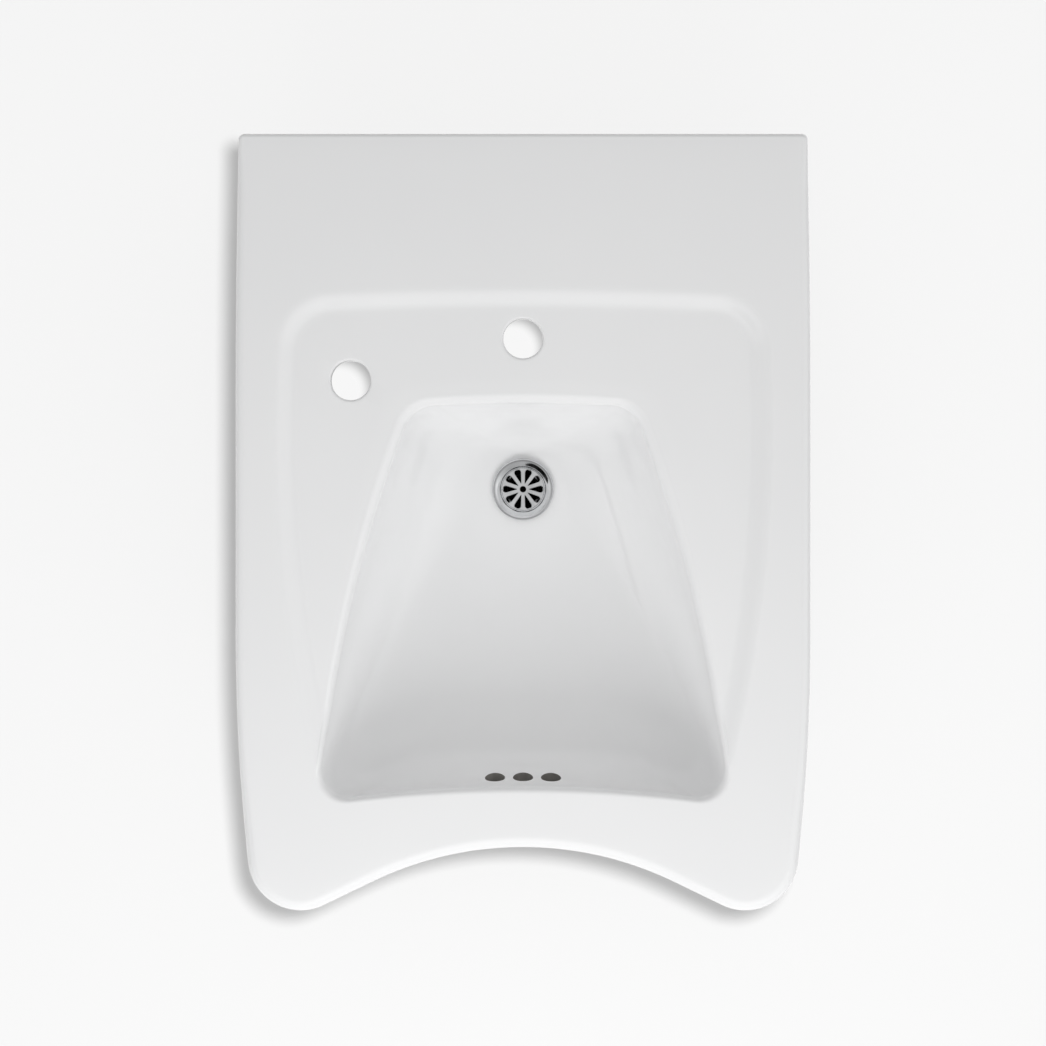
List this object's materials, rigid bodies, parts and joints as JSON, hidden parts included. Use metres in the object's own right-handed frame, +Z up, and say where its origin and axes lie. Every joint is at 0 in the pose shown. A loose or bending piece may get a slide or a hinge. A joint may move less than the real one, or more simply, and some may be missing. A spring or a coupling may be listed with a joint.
{
  "type": "accessible bathroom sink",
  "caption": "Wall-hung white china wheelchair sink with a self-draining deck, concave front, open-grid drain, front overflow and concealed support arms.",
  "frame": {"origin": "middle of the china's flat rear face, where it meets the wall", "axes": "+Z up, the wall side is +Y, the user sits toward -Y, and +X is to the right of a user who faces the wall"},
  "size_m": [0.508, 0.686, 0.281],
  "materials": {
    "white_china": "gloss white glaze",
    "chrome_plate": "polished",
    "grey_sealant": "matt",
    "black_rubber": "matt",
    "white_plastic": "satin",
    "yellow_brass": "machined",
    "zinc_steel": "zinc plated",
    "arm_paint": "painted casting"
  },
  "bodies": {
    "root": {"basin": "white_china", "drain_body": "chrome_plate", "strainer_grid": "chrome_plate", "flange_seal": "grey_sealant", "cone_gasket": "black_rubber", "friction_washer": "white_plastic", "drain_locknut": "yellow_brass", "tailpiece": "chrome_plate", "tailpiece_seal": "black_rubber", "left_support_arm": "arm_paint", "left_levelling_screws": "zinc_steel", "left_levelling_nuts": "zinc_steel", "left_levelling_pads": "white_plastic", "left_lock_bolt": "zinc_steel", "left_lock_washer": "zinc_steel", "left_lock_cushion": "black_rubber", "right_support_arm": "arm_paint", "right_levelling_screws": "zinc_steel", "right_levelling_nuts": "zinc_steel", "right_levelling_pads": "white_plastic", "right_lock_bolt": "zinc_steel", "right_lock_washer": "zinc_steel", "right_lock_cushion": "black_rubber"}
  },
  "joints": []
}
